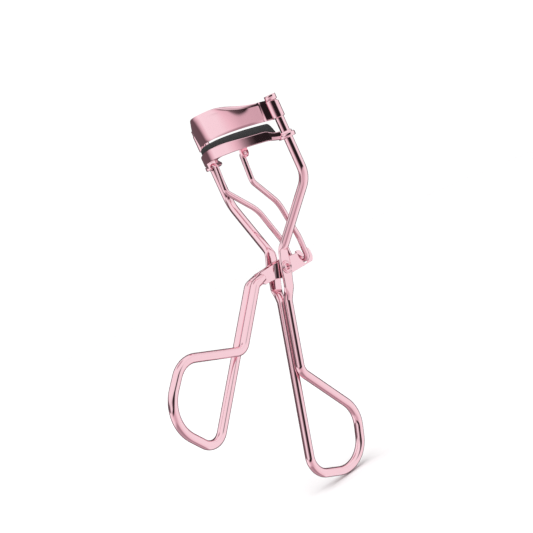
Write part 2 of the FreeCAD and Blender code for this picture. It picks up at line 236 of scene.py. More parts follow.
def floor_paper(name):
    """White paper with a faint mottle."""
    m, nt, b = node_material(name)
    grain = add(nt, "ShaderNodeTexNoise", Scale=900.0, Detail=4.0)
    tone = colour_ramp(nt, grain.outputs["Fac"], [(0.0, FLOOR_DARK), (1.0, FLOOR_LIGHT)])
    nt.links.new(tone, b.inputs["Base Color"])
    b.inputs["Roughness"].default_value = 0.9
    b.inputs["Specular IOR Level"].default_value = 0.1
    return m


CHROME = pink_chrome("pink_chrome", WIRE_ROUGH, WIRE_DEEP)
CHROME_SOFT = pink_chrome("pink_chrome_pressed", SHEET_ROUGH, SHEET_DEEP)
RUBBER = pad_rubber("pad_rubber")

# the CAD nodes get a finish too, though pieces below replace and hide all of them
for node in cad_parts.values():
    mat = RUBBER if node.name == "jaw_pad" else CHROME
    node.data.materials.clear()
    node.data.materials.append(mat)


# ---- mesh helpers ----
def rounded(points, radii, step=5.0):
    """Dense points along a polyline whose inner corners are arcs of the given radii."""
    pts = [Vector(p) for p in points]
    out = [pts[0]]
    for i in range(1, len(pts) - 1):
        a = (pts[i - 1] - pts[i]).normalized()
        b = (pts[i + 1] - pts[i]).normalized()
        ang = a.angle(b)
        r = radii[i - 1]
        p1 = pts[i] + a * (r / math.tan(ang / 2))
        centre = pts[i] + (a + b).normalized() * (r / math.sin(ang / 2))
        turn = math.pi - ang
        axis = a.cross(b).normalized()
        count = max(3, math.ceil(math.degrees(turn) / step))
        for k in range(count + 1):
            q = Matrix.Rotation(-turn * k / count, 3, axis) @ (p1 - centre)
            out.append(centre + q)
    out.append(pts[-1])
    same_place = 1e-3
    clean = [out[0]]
    for p in out[1:]:
        if (p - clean[-1]).length > same_place:
            clean.append(p)
    return clean


def subdivided(pts, longest):
    """The same line with no step longer than this."""
    out = [pts[0]]
    for a, b in zip(pts, pts[1:]):
        n = max(1, math.ceil((b - a).length / longest))
        out += [a + (b - a) * (k / n) for k in range(1, n + 1)]
    return out


def join(bm, r0, r1):
    """Quads between two closed rings of equal count."""
    n = len(r0)
    for k in range(n):
        q = (k + 1) % n
        bm.faces.new((r0[k], r0[q], r1[q], r1[k]))


def skin(bm, rings):
    for r0, r1 in zip(rings, rings[1:]):
        join(bm, r0, r1)


def new_piece(name, bm, mat, body, nodes):
    """Make the mesh a piece that rides on a body and stands for CAD nodes."""
    bmesh.ops.recalc_face_normals(bm, faces=bm.faces)
    for f in bm.faces:
        f.smooth = True
    me = bpy.data.meshes.new(name)
    bm.to_mesh(me)
    bm.free()
    me.materials.append(mat)
    ob = bpy.data.objects.new(name, me)
    bpy.context.scene.collection.objects.link(ob)
    me.transform(Matrix.Translation(PIVOT) @ Matrix.Scale(MM, 4))
    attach(ob, body)
    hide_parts(*nodes)
    return ob


def crease(ob, degrees):
    """Smooth shading that breaks where the surface turns by more than this."""
    me = ob.data
    bm = bmesh.new()
    bm.from_mesh(me)
    for e in bm.edges:
        if len(e.link_faces) == 2 and e.calc_face_angle(0) > math.radians(degrees):
            e.smooth = False
    bm.to_mesh(me)
    bm.free()


def even(ob):
    """Let the broad faces keep their own direction beside their small rounded edges."""
    w = ob.modifiers.new("even", "WEIGHTED_NORMAL")
    w.keep_sharp = True
    w.weight = 60
    w.mode = "FACE_AREA"


def bevel(ob, width):
    """Round the edges sharper than 35 degrees."""
    b = ob.modifiers.new("edge", "BEVEL")
    b.width = width * MM
    b.segments = 3
    b.limit_method = "ANGLE"
    b.angle_limit = math.radians(35)
    b.harden_normals = True


def close_end(bm, ring, outward, bulge):
    """Close a swept ring, flat or as a low dome; bulge is about its height in radii."""
    if bulge:
        centre = sum((w.co for w in ring), Vector()) / len(ring)
        r = (ring[0].co - centre).length
        start = ring
        steps = 5
        for k in range(1, steps):
            q = k / steps * math.pi / 2
            shift = outward * (r * math.sin(q) * bulge)
            nxt = [bm.verts.new(centre + (w.co - centre) * math.cos(q) + shift) for w in start]
            join(bm, ring, nxt)
            ring = nxt
    bm.faces.new(ring)


def sweep(bm, pts, section, u0, count, bulge=0.0):
    """Skin rings along pts. section(i, p) gives the half size along u and along v,
    and the outline's power: 2 is an ellipse, more is squarer."""
    n = len(pts)
    tan = []
    for i in range(n):
        a = pts[max(0, i - 1)]
        b = pts[min(n - 1, i + 1)]
        tan.append((b - a).normalized())
    u = (u0 - tan[0] * u0.dot(tan[0])).normalized()
    rings = []
    for i in range(n):
        if i:
            turn = tan[i - 1].rotation_difference(tan[i])
            u = turn @ u
            u = (u - tan[i] * u.dot(tan[i])).normalized()
        v = tan[i].cross(u)
        a, b, power = section(i, pts[i])
        ring = []
        for cs, sn in circle(count):
            along_u = u * (a * math.copysign(abs(cs) ** (2 / power), cs))
            along_v = v * (b * math.copysign(abs(sn) ** (2 / power), sn))
            ring.append(bm.verts.new(pts[i] + along_u + along_v))
        rings.append(ring)
    skin(bm, rings)
    close_end(bm, rings[0], -tan[0], bulge)
    close_end(bm, rings[-1], tan[-1], bulge)


def plain(r):
    return lambda i, p: (r, r, 2)


# ---- frame wire: guide rods with flattened ears, and the finger loop ----
WIRE_SIDES = 40
EAR_LOW_SIDE = 0.1
EAR_BENDS = [2.2, 2.4, 1.8]
EAR_STEP = 0.7
FLAT_FROM, FLAT_RISE = -6.0, 1.9   # where the round wire flattens, along the lean
FLAT_TO, FLAT_DROP = 4.9, 2.0
EAR_NARROW, NARROW_FROM, NARROW_RUN = 0.13, 1.0, 3.0
EAR_SQUARE = 1.6
FRAME_LOOP_BENDS = [3.4, 8.0, 8.0, 5.0]
LOOP_STEP = 4.0


def ear_section(i, p):
    """Round wire that flattens into the ear, widest at the pin."""
    s = p.dot(F_D)
    w = swell(s, FLAT_FROM, FLAT_RISE, FLAT_TO, FLAT_DROP)
    wide = EAR_HALF_W * (1 - EAR_NARROW * smooth((abs(s) - NARROW_FROM) / NARROW_RUN))
    return WIRE_R + (wide - WIRE_R) * w, WIRE_R + (EAR_HALF_T - WIRE_R) * w, 2 + EAR_SQUARE * w


def frame_half(side):
    corners = [(ROD_X, ROD_Y, ROD_TOP), (ROD_X, ROD_Y, ROD_BEND_Z),
               fpt(EAR_X, EAR_TOP, EAR_SIDE), fpt(EAR_X, EAR_LOW, EAR_LOW_SIDE),
               fpt(PAIR_X, NECK_S, 0), fpt(PAIR_X, SPLIT, 0)]
    route = subdivided(rounded(corners, [ROD_BEND_R] + EAR_BENDS), EAR_STEP)
    bm = bmesh.new()
    sweep(bm, route, ear_section, F_W, WIRE_SIDES)
    if side < 0:
        bmesh.ops.scale(bm, vec=(-1, 1, 1), verts=bm.verts)
    return bm


for side, node in ((1, "guide_rod_right"), (-1, "guide_rod_left")):
    ob = new_piece(node + "_wire", frame_half(side), CHROME, "frame", [node])
    crease(ob, 60)

frame_loop = [fpt(PAIR_X, SPLIT, 0), fpt(PAIR_X, 27.3, 0), fpt(1.1, 39.6, 17.55),
              fpt(-0.2, 55.1, 17.4), fpt(-PAIR_X, 53.9, 0), fpt(-PAIR_X, SPLIT, 0)]
bm = bmesh.new()
sweep(bm, rounded(frame_loop, FRAME_LOOP_BENDS, LOOP_STEP), plain(WIRE_R), F_W, WIRE_SIDES)
ob = new_piece("frame_loop_wire", bm, CHROME, "frame", ["frame_finger_loop"])
crease(ob, 60)

# ---- upper jaw: crested plate with a rolled collar on each rod ----
PLATE_SPAN, PLATE_STEPS, PLATE_ROWS = 63.5, 200, 12  # the span is half the arc, in degrees
CREST_HALF = 13.0                                   # half the crest's length, along X
SIDE_H, SIDE_X, SIDE_RUN = 0.55, 6.0, 7.0            # extra height beside the crest
FLARE_X, FLARE_RUN, FLARE_POWER = 4.5, 5.0, 2.6
CURL, CURL_X, CURL_RISE, CURL_TO, CURL_DROP, CURL_POWER = 0.22, 3.5, 4.0, 9.5, 3.0, 5
JOG, JOG_DEG, JOG_RUN = 0.55, 53.6, 2.8             # a step outwards near the collars
PLATE_LEAN, LEAN_RUN = 0.5, 2.0
ROLL_DEG, ROLL_RUN, ROLL_LOSS = 53.4, 2.0, 0.8
EDGE_IN, EDGE_REACH = 0.16, 0.35                    # rounding of the plate's long edges
COLLAR_SIDES = 48
COLLAR_EDGE = 0.18
SLANT_LEAD, SLANT_DROP, SLANT_RUN = 0.45, 1.4, 6.0  # slant of the collar's top


def arc_sweep(bm, section, half_angle, steps):
    """Closed outlines of (radius, height) carried round the jaws' arc in plan."""
    rings = []
    for k in range(steps + 1):
        a = math.radians(-half_angle + 2 * half_angle * k / steps)
        x, y = math.sin(a), math.cos(a)
        rings.append([bm.verts.new((r * x, JAW_CY - r * y, z)) for r, z in section(a)])
    skin(bm, rings)
    bm.faces.new(rings[0])
    bm.faces.new(rings[-1])


def plate_section(a):
    z0 = UPPER_EDGE_Z - fall(a, UPPER_R)
    x = abs(UPPER_R * math.sin(a))
    deg = abs(math.degrees(a))
    h = END_H + (CREST - END_H) * (1 - smooth(x / CREST_HALF))
    h += SIDE_H * swell(x, 0.0, SIDE_X, SIDE_X, SIDE_RUN)
    flare = FLARE * (1 - smooth((x - FLARE_X) / FLARE_RUN))
    curl = CURL * swell(x, CURL_X, CURL_RISE, CURL_TO, CURL_DROP)
    jog = JOG * smooth((deg - JOG_DEG) / JOG_RUN)
    lean = PLATE_LEAN * (1 - smooth((deg - JOG_DEG) / LEAN_RUN))
    roll = EDGE_IN * (1 - ROLL_LOSS * smooth((deg - ROLL_DEG) / ROLL_RUN))
    outer, inner = [], []
    for k in range(PLATE_ROWS + 1):
        t = k / PLATE_ROWS
        out = jog + lean * t + flare * t ** FLARE_POWER - curl * t ** CURL_POWER
        from_edge = min(1.0, min(t, 1 - t) * h / EDGE_REACH)
        edge = roll * (1 - math.sin(from_edge * math.pi / 2))
        outer.append((UPPER_R + out - edge, z0 + h * t))
        inner.append((UPPER_R + out - UPPER_T + edge, z0 + h * t))
    return outer + inner[::-1]


def collar(bm, side):
    """Rolled sheet round the rod: its top is cut on a slant, lower at the back."""
    rod, shell = (ROD_X * side, ROD_Y), (COLLAR_X * side, COLLAR_Y)
    rows = []
    for centre, r, at_top, rise in (
            (rod, WIRE_R, False, 0.0), (shell, COLLAR_R - COLLAR_EDGE, False, 0.0),
            (shell, COLLAR_R, False, COLLAR_EDGE), (shell, COLLAR_R, True, -COLLAR_EDGE),
            (shell, COLLAR_R - COLLAR_EDGE, True, 0.0), (rod, WIRE_R - FIT, True, 0.0)):
        row = []
        for cs, sn in circle(COLLAR_SIDES):
            x, y = centre[0] + r * cs, centre[1] + r * sn
            z = COLLAR_Z0
            if at_top:
                slant = SLANT_DROP * (y - COLLAR_Y + SLANT_RUN / 2) / SLANT_RUN
                z = min(COLLAR_Z1 + SLANT_LEAD - slant, COLLAR_Z1)
            row.append(bm.verts.new((x, y, z + rise)))
        rows.append(row)
    skin(bm, rows + rows[:1])


bm = bmesh.new()
arc_sweep(bm, plate_section, PLATE_SPAN, PLATE_STEPS)
collar(bm, 1)
collar(bm, -1)
ob = new_piece("upper_jaw", bm, CHROME_SOFT, "frame", ["upper_jaw_plate"])
crease(ob, 40)

# ---- rod end caps and pivot rivet, both turned ----
CAP_LIFT = 0.01
CAP_LOW_EDGE, CAP_TOP_EDGE = 0.08, 0.16


def lathe(bm, profile, origin, axis, u, n=48):
    """Turn (distance along axis, radius) pairs round the axis."""
    origin, axis, u = Vector(origin), Vector(axis).normalized(), Vector(u).normalized()
    v = axis.cross(u)
    on_axis = 1e-6
    rows = []
    for d, r in profile:
        centre = origin + axis * d
        steps = [(0, 0)] if r < on_axis else circle(n)
        rows.append([bm.verts.new(centre + (u * cs + v * sn) * r) for cs, sn in steps])
    for r0, r1 in zip(rows, rows[1:]):
        for k in range(n):
            q = (k + 1) % n
            if len(r0) == 1:
                bm.faces.new((r0[0], r1[q], r1[k]))
            elif len(r1) == 1:
                bm.faces.new((r0[k], r0[q], r1[0]))
            else:
                bm.faces.new((r0[k], r0[q], r1[q], r1[k]))


def fillet(d0, r0, d1, r1, inward, n=5):
    """Quarter round between two profile points; inward picks which corner is filled."""
    out = []
    for k in range(n + 1):
        t = math.pi / 2 * k / n
        first, second = math.sin(t), 1 - math.cos(t)
        if not inward:
            first, second = second, first
        out.append((d0 + (d1 - d0) * first, r0 + (r1 - r0) * second))
    return out


cap_foot = [(0.0, 0.0), (0.0, CAP_R - CAP_LOW_EDGE), (CAP_LOW_EDGE, CAP_R)]
cap_top = fillet(CAP_H - CAP_TOP_EDGE, CAP_R, CAP_H, CAP_R - CAP_TOP_EDGE, True)
bm = bmesh.new()
for side in (1, -1):
    lathe(bm, cap_foot + cap_top + [(CAP_H, 0.0)],
          (ROD_X * side, ROD_Y, ROD_TOP + CAP_LIFT), (0, 0, 1), (1, 0, 0))
caps = new_piece("rod_caps", bm, CHROME, "frame", ["rod_end_caps"])
crease(caps, 60)
even(caps)

# one end of the rivet: (distance from the head's inner face, radius)
rim = [(0.0, HEAD_R - 0.3), (0.06, HEAD_R - 0.12), (0.16, HEAD_R), (0.24, HEAD_R - 0.02),
       (0.3, HEAD_R - 0.1)]
turned_groove = [(0.2, HEAD_R - 0.22), (0.2, HEAD_R - 0.34)]
lip = (fillet(0.24, HEAD_R - 0.38, HEAD_T, HEAD_R - 0.72, True)
       + fillet(HEAD_T, 1.1, HEAD_T - 0.24, 0.8, False))
hollow = [(HEAD_T - 0.7, 0.74), (HEAD_T - 0.84, 0.66), (HEAD_T - 0.86, 0.5),
          (HEAD_T - 0.62, 0.34), (HEAD_T - 0.55, 0.0)]
HEAD_FROM = EAR_OUT + FIT
rivet_profile = [(0.0, PIN_R), (HEAD_FROM, PIN_R)]
rivet_profile += [(HEAD_FROM + d, r) for d, r in rim + turned_groove + lip + hollow]
bm = bmesh.new()
for side in (1, -1):
    lathe(bm, rivet_profile, (0, 0, 0), (side, 0, 0), (0, 1, 0))
rivet = new_piece("pivot_rivet_turned", bm, CHROME, "frame", ["pivot_rivet"])
crease(rivet, 60)
even(rivet)

# ---- lever: finger loop, its ends flattened between the bracket's tongues ----
TENON_X, TENON_Z = 0.42, 0.45
TENON_SQUARE = 3.5
# a flattened end, from its tip: (y, half thickness, half height)
TENON = [(-8.1, 0.28, 0.9), (-7.4, 0.34, 1.2), (-6.6, 0.35, 1.4), (-5.6, 0.35, 1.42),
         (-4.5, 0.35, 1.42)]
WIRE_END_Y = -7.65
WIRE_END_BULGE = 0.35
LEVER_BENDS = [2.6, 3.2, 6.5, 9.4, 4.5, 2.6]


def tenon_section(i, p):
    y, half_thick, half_high = TENON[i]
    return half_high, half_thick, TENON_SQUARE


elbow = lpt(PAIR_X, 7.7, 0)
lever_loop = [(PAIR_X, WIRE_END_Y, TENON_Z), elbow, lpt(PAIR_X, 26.0, 0), lpt(1.1, 34.5, 17.5),
              lpt(-0.2, 50.5, 17.15), lpt(-PAIR_X, 51.8, 0), (-PAIR_X, elbow.y, elbow.z),
              (-PAIR_X, WIRE_END_Y, TENON_Z)]
bm = bmesh.new()
sweep(bm, rounded(lever_loop, LEVER_BENDS, LOOP_STEP), plain(WIRE_R), Z_AXIS, WIRE_SIDES,
      WIRE_END_BULGE)
for side in (1, -1):
    flat = [Vector((TENON_X * side, y, TENON_Z)) for y, half_thick, half_high in TENON]
    sweep(bm, flat, tenon_section, Z_AXIS, 24)
ob = new_piece("lever_loop_wire", bm, CHROME, "lever", ["lever_finger_loop"])
crease(ob, 50)

# ---- bracket: one bent sheet a side, and the web between them ----
TONGUE_Z = BR_BOT + 0.7
SEAT_FROM, SEAT_STEPS = 128, 12    # degrees; the seat is open from 0 to here
STEP_FROM, STEP_RUN = -2.15, 1.2   # where the tongue steps out to the cheek, at the top edge
STEP_SLANT = 1.7                   # how far back the step runs from top to bottom
STEP_CUTS = (-2.3, -2.05, -1.8, -1.1, -0.85, -0.6)  # edges that let the sheet bend there
TUCK_Y, TUCK = 9.5, 0.10           # the tips bend inwards beyond here
SHEET_EDGE = 0.10
WEB_Y, WEB_LONG, WEB_T, WEB_EDGE = 2.7, 6.6, 0.6, 0.12
WEB_RISE, WEB_LAP = 0.325, 0.1


def cheek_outline():
    """The side sheet laid flat, as (y, z): top edge, seat, tip, lower edge, tongue."""
    top_edge = [(-2.0, BR_TOP), (2.0, BR_TOP), (3.0, 1.97), (4.2, 1.82), (5.5, 1.72),
                (6.15, 1.70), (6.35, 1.62)]
    seat = arc_points((HOOK_Y, HOOK_Z), SEAT_R, SEAT_FROM, 360 - SEAT_FROM, SEAT_STEPS)
    tip = [(9.6, 1.60), (10.3, 1.62), (10.8, 1.45), (11.25, 0.95), (11.5, 0.2), (11.5, -0.6),
           (11.35, -1.5), (11.0, -2.05), (10.5, -2.33)]
    lower_edge = [(5.0, BR_BOT), (-0.5, BR_BOT), (-2.6, BR_BOT + 0.25)]
    tongue = [(-3.6, TONGUE_Z), (-4.7, TONGUE_Z), (-7.4, TONGUE_Z + 0.1),
              (-7.95, TONGUE_Z + 0.45), (-8.2, -0.6), (-8.1, 1.2), (-7.9, 1.62), (-7.5, 1.82)]
    return top_edge + seat + tip + lower_edge + tongue


def bracket_side(bm, side):
    face = bm.faces.new([bm.verts.new((0, y, z)) for y, z in cheek_outline()])
    geom = [face, *face.edges, *face.verts]
    slanted = Vector((0, 1, -STEP_SLANT / (BR_TOP - TONGUE_Z)))
    planes = [((0, TUCK_Y, 0), (0, 1, 0))] + [((0, y, BR_TOP), slanted) for y in STEP_CUTS]
    for point, normal in planes:
        geom = bmesh.ops.bisect_plane(bm, geom=geom, plane_co=point, plane_no=normal)["geom"]
    cheek_x, tongue_x = (BR_OUT + BR_IN) / 2, (TONGUE_OUT + TONGUE_IN) / 2
    faces = [g for g in geom if isinstance(g, bmesh.types.BMFace)]
    for v in {v for f in faces for v in f.verts}:
        back = STEP_SLANT * (BR_TOP - v.co.z) / (BR_TOP - TONGUE_Z)
        t = (v.co.y + back - STEP_FROM) / STEP_RUN
        tuck = TUCK * max(0.0, v.co.y - TUCK_Y)
        v.co.x = side * (tongue_x + (cheek_x - tongue_x) * smooth(t) - tuck)


bm = bmesh.new()
bracket_side(bm, 1)
bracket_side(bm, -1)
ob = new_piece("lever_bracket_sheet", bm, CHROME, "lever", ["lever_bracket"])
thick = ob.modifiers.new("sheet", "SOLIDIFY")
thick.thickness = (BR_OUT - BR_IN) * MM
thick.offset = 0
bevel(ob, SHEET_EDGE)

web_place = Matrix.Translation((0, WEB_Y, BR_BOT + WEB_RISE))
web_size = Matrix.Diagonal((2 * BR_IN + WEB_LAP, WEB_LONG, WEB_T, 1))
bm = bmesh.new()
bmesh.ops.create_cube(bm, size=1, matrix=web_place @ web_size)
bmesh.ops.bevel(bm, geom=list(bm.edges), offset=WEB_EDGE, segments=3, affect="EDGES", profile=0.5)
web = new_piece("lever_bracket_web", bm, CHROME, "lever", [])
crease(web, 40)

# ---- push wire: crossbar in the bracket's seats, arms, ends in the lugs ----
ARM_BENDS = [1.1, 9.0, 9.0, 2.6, 0.72]
END_LONG, END_EDGE = 1.05, 0.1

half = [(0, HOOK_Y, HOOK_Z), (ARM_X, HOOK_Y, HOOK_Z), (ARM_X + 0.1, 8.45, 5.2),
        (4.2, 5.75, 15.9), (ARM_TOP_X, -0.75, 23.9), (ARM_TOP_X, LUG_Y, LUG_Z),
        (LUG_X0 - 0.1, LUG_Y, LUG_Z)]
right = rounded(half, ARM_BENDS, 6.0)
whole = [Vector((-p.x, p.y, p.z)) for p in reversed(right[1:])] + right
end_pin = [(0, 0), (0, LUG_PIN_R), (END_LONG - END_EDGE, LUG_PIN_R),
           (END_LONG, LUG_PIN_R - END_EDGE), (END_LONG, 0)]
bm = bmesh.new()
sweep(bm, whole, plain(PUSH_R), Z_AXIS, 32)
for side in (1, -1):
    lathe(bm, end_pin, ((LUG_X0 - 0.3) * side, LUG_Y, LUG_Z), (side, 0, 0), (0, 1, 0), 32)
ob = new_piece("push_wire_bent", bm, CHROME, "push_link", ["push_wire"])
crease(ob, 50)

# ---- lower jaw: channel with a guide ring round each rod ----
CHANNEL_SPAN, CHANNEL_STEPS = 62.0, 160             # half the arc, in degrees
WALL_DIP, DIP_X, DIP_RUN = 0.45, 2.0, 9.0           # the outer wall gets lower outwards
END_DIP, END_DIP_X, END_DIP_RUN = 0.85, 13.0, 1.5
FOOT_DIP, FOOT_X, FOOT_RUN = 0.35, 12.6, 2.6
INNER_H, INNER_END_H, INNER_X, INNER_RUN = 2.0, SHEET + 0.15, 11.4, 2.0
LOWER_EDGE, CORNER, WALL_EDGE, WALL_CORNER = 0.22, 0.06, 0.14, 0.04
RING_SIDES = 56
RING_EDGE, RING_CORNER, RING_GAP = 0.22, 0.06, 0.08
NECK_H, NECK_FOOT_R, NECK_R, NECK_TOP_R = 0.55, 1.68, 1.62, 1.52
ROOT_GAP = 0.1


def channel_section(a):
    x = abs(LOWER_R * math.sin(a))
    level = CHANNEL_Z - fall(a, LOWER_R)
    z1 = level + CHANNEL_H - WALL_DIP * smooth((x - DIP_X) / DIP_RUN)
    z1 -= END_DIP * smooth((x - END_DIP_X) / END_DIP_RUN)
    z0 = level - FOOT_DIP * smooth((x - FOOT_X) / FOOT_RUN)
    zi = z0 + INNER_H + (INNER_END_H - INNER_H) * smooth((x - INNER_X) / INNER_RUN)
    r0, r1, t, q, e = LOWER_IN_R, LOWER_R, SHEET, WALL_EDGE, LOWER_EDGE
    outer_wall = [(r1 - e, z0), (r1 - CORNER, z0 + CORNER), (r1, z0 + e), (r1, z1 - q),
                  (r1 - WALL_CORNER, z1 - WALL_CORNER), (r1 - q, z1)]
    trough = [(r1 - t + q, z1), (r1 - t + WALL_CORNER, z1 - WALL_CORNER), (r1 - t, z1 - q),
              (r1 - t, z0 + t), (r0 + t, z0 + t)]
    inner_wall = [(r0 + t, zi - q * 0.7), (r0 + t - q, zi), (r0 + q, zi), (r0, zi - q * 0.7),
                  (r0, z0 + e), (r0 + CORNER, z0 + CORNER), (r0 + e, z0)]
    return outer_wall + trough + inner_wall


def ring_tab(bm, side):
    """Guide ring: a flat washer with a short neck on top."""
    hole = WIRE_R + RING_GAP
    top = TAB_Z + TAB_H
    washer = [(hole, TAB_Z + 0.05), (hole + 0.1, TAB_Z), (TAB_R - RING_EDGE, TAB_Z),
              (TAB_R - RING_CORNER, TAB_Z + RING_CORNER), (TAB_R, TAB_Z + RING_EDGE),
              (TAB_R, top - RING_EDGE), (TAB_R - RING_CORNER, top - RING_CORNER),
              (TAB_R - RING_EDGE, top)]
    neck = [(NECK_FOOT_R, top), (NECK_R, top + 0.1), (NECK_R, top + NECK_H - 0.1),
            (NECK_TOP_R, top + NECK_H), (hole + 0.06, top + NECK_H), (hole, top + NECK_H - 0.05)]
    rows = []
    for r, z in washer + neck:
        rows.append([bm.verts.new((side * (ROD_X + r * cs), ROD_Y + r * sn, z))
                     for cs, sn in circle(RING_SIDES)])
    skin(bm, rows + rows[:1])


def tab_root(bm, side):
    """Flat gusset that joins the channel's end to the ring, clear of the rod."""
    round_rod = arc_points((ROD_X, ROD_Y), WIRE_R + ROOT_GAP, 232, -84, 8)
    outline = [(14.1, 5.9), (14.6, 6.15)] + round_rod
    outline += [(13.9, 9.15), (13.3, 8.55), (12.2, 7.8), (13.0, 6.7)]
    low = [bm.verts.new((side * x, y, TAB_Z + FIT)) for x, y in outline]
    top = [bm.verts.new((side * x, y, TAB_Z + TAB_H - FIT)) for x, y in outline]
    bm.faces.new(low)
    bm.faces.new(top)
    join(bm, low, top)


bm = bmesh.new()
arc_sweep(bm, channel_section, CHANNEL_SPAN, CHANNEL_STEPS)
for side in (1, -1):
    ring_tab(bm, side)
    tab_root(bm, side)
ob = new_piece("lower_jaw", bm, CHROME_SOFT, "lower_jaw", ["lower_jaw_channel"])
crease(ob, 60)
even(ob)

# ---- pad ----
PAD_SPAN, PAD_STEPS = 59.4, 160    # half the arc, in degrees
PAD_GAP = 0.03                     # between the pad and the channel's sheet
PAD_END_DEG, PAD_END_RUN, PAD_END_DROP, PAD_END_POWER = 54.2, 5.2, 2.9, 2.4
PAD_LEAST_H = 0.8
PAD_EDGE, PAD_EDGE_SHARE = 0.55, 0.4
PAD_CROWN = 0.03
PAD_FOOT_IN, PAD_FOOT_UP = 0.1, 0.05


def pad_section(a):
    base = CHANNEL_Z - fall(a, LOWER_R) + SHEET + PAD_GAP
    past_end = max(0.0, (abs(math.degrees(a)) - PAD_END_DEG) / PAD_END_RUN)
    top = PAD_Z - fall(a, LOWER_R) - PAD_END_DROP * past_end ** PAD_END_POWER
    top = max(top, base + PAD_LEAST_H)
    r0, r1 = LOWER_IN_R + SHEET + PAD_GAP, LOWER_R - SHEET - PAD_GAP
    w = min(PAD_EDGE, (top - base) * PAD_EDGE_SHARE)
    steps = 6
    corner = []
    for k in range(1, steps):
        q = math.pi / 2 * k / steps
        corner.append((w * (1 - math.cos(q)), w * (1 - math.sin(q))))
    out = [(r1, base + PAD_FOOT_UP), (r1, top - w)]
    out += [(r1 - inward, top - down) for inward, down in corner]
    out += [(r1 - w, top), ((r0 + r1) / 2, top + PAD_CROWN), (r0 + w, top)]
    out += [(r0 + inward, top - down) for inward, down in reversed(corner)]
    out += [(r0, top - w), (r0, base + PAD_FOOT_UP), (r0 + PAD_FOOT_IN, base),
            (r1 - PAD_FOOT_IN, base)]
    return out


bm = bmesh.new()
arc_sweep(bm, pad_section, PAD_SPAN, PAD_STEPS)
pad = new_piece("silicone_pad", bm, RUBBER, "lower_jaw", ["jaw_pad"])
crease(pad, 50)

# ---- lugs ----
LUG_TOP_LAP = 0.05                 # the lug's top runs this far into the channel
LUG_MID_X, LUG_MID_R = 6.6, 15.6
LUG_GAP = 0.06
LUG_HOLE_SIDES = 24


def lug(side):
    bm = bmesh.new()
    top = CHANNEL_Z + LUG_TOP_LAP - fall(math.asin(LUG_MID_X / LUG_MID_R), LOWER_R)
    outline = [(LUG_Y + LUG_R, top), (LUG_Y - LUG_R, top)]
    outline += arc_points((LUG_Y, LUG_Z), LUG_R, 180, 180, 20)
    hole_r = LUG_PIN_R + LUG_GAP
    hole = [(LUG_Y + hole_r * cs, LUG_Z + hole_r * sn) for cs, sn in circle(LUG_HOLE_SIDES)]
    faces = []
    for x in (LUG_X0, LUG_X1):
        rings = [[bm.verts.new((side * x, y, z)) for y, z in line] for line in (outline, hole)]
        edges = []
        for ring in rings:
            edges += [bm.edges.new(ends) for ends in zip(ring, ring[1:] + ring[:1])]
        bmesh.ops.triangle_fill(bm, use_beauty=True, use_dissolve=False, edges=edges)
        faces.append(rings)
    for ring_a, ring_b in zip(*faces):
        join(bm, ring_a, ring_b)
    return bm


for side, node in ((1, "link_lug_right"), (-1, "link_lug_left")):
    ob = new_piece(node + "_pressed", lug(side), CHROME, "lower_jaw", [node])
    crease(ob, 30)

# ---- floor ----
FLOOR_R, FLOOR_DROP = 0.55, 0.0002  # metres; the drop keeps it just under the wire

bm = bmesh.new()
bmesh.ops.create_circle(bm, cap_ends=True, radius=FLOOR_R, segments=96)
me = bpy.data.meshes.new("floor")
bm.to_mesh(me)
bm.free()
me.materials.append(floor_paper("floor_paper"))
floor = bpy.data.objects.new("floor", me)
floor.location = (0, 0, -FLOOR_DROP)
bpy.context.scene.collection.objects.link(floor)
floor.visible_glossy = False

# ---- studio: a pale tent for the chrome to mirror, with darker bands in it and a
# dark card behind the object; all of it is fixed and doesn't follow the camera ----
ROSE = (1.0, 0.84, 0.88)
DEEP = (1.0, 0.81, 0.86)
DUSK = (1.0, 0.76, 0.83)
TO_CARD = (-0.74, 0.66, -0.11)
CARD_FROM, CARD_FULL = 0.48, 0.62  # dot product of a direction with TO_CARD
CARD_COLOUR = (0.14, 0.10, 0.11, 1)
BACKGROUND = (1.05, 1.05, 1.05, 1)

world = bpy.data.worlds.new("studio")
bpy.context.scene.world = world
world.use_nodes = True
nt = world.node_tree
link = nt.links.new
where = nt.nodes.new("ShaderNodeTexCoord")
parts = nt.nodes.new("ShaderNodeSeparateXYZ")
link(where.outputs["Generated"], parts.inputs["Vector"])


def math_node(op, *values):
    n = nt.nodes.new("ShaderNodeMath")
    n.operation = op
    for k, v in enumerate(values):
        if isinstance(v, (int, float)):
            n.inputs[k].default_value = v
        else:
            link(v, n.inputs[k])
    return n.outputs[0]


# azimuth 0 is -Y and 90 is +X; around runs from 0 at -180 degrees to 1 at 180, and
# height from 0 straight down to 1 straight up
azimuth = math_node("ARCTAN2", parts.outputs["X"], math_node("MULTIPLY", parts.outputs["Y"], -1.0))
around = math_node("ADD", math_node("DIVIDE", azimuth, 2 * math.pi), 0.5)
elevation = math_node("ARCSINE", parts.outputs["Z"])
height = math_node("ADD", math_node("DIVIDE", elevation, math.pi), 0.5)


def tent(source, full_range, stops):
    """A ramp through (degrees, strength, tint) stops."""
    return colour_ramp(nt, source, [
        (degrees / full_range + 0.5, [strength * c for c in tint])
        for degrees, strength, tint in stops])


# the dark upright band to the left, which two layers share
LEFT_BAND = [(-126, 0.31, DUSK), (-90, 0.30, DUSK), (-84, 0.06, DUSK), (-78, 0.06, DUSK),
             (-72, 0.38, DUSK), (-64, 0.80, ROSE), (-56, 0.98, WHITE)]

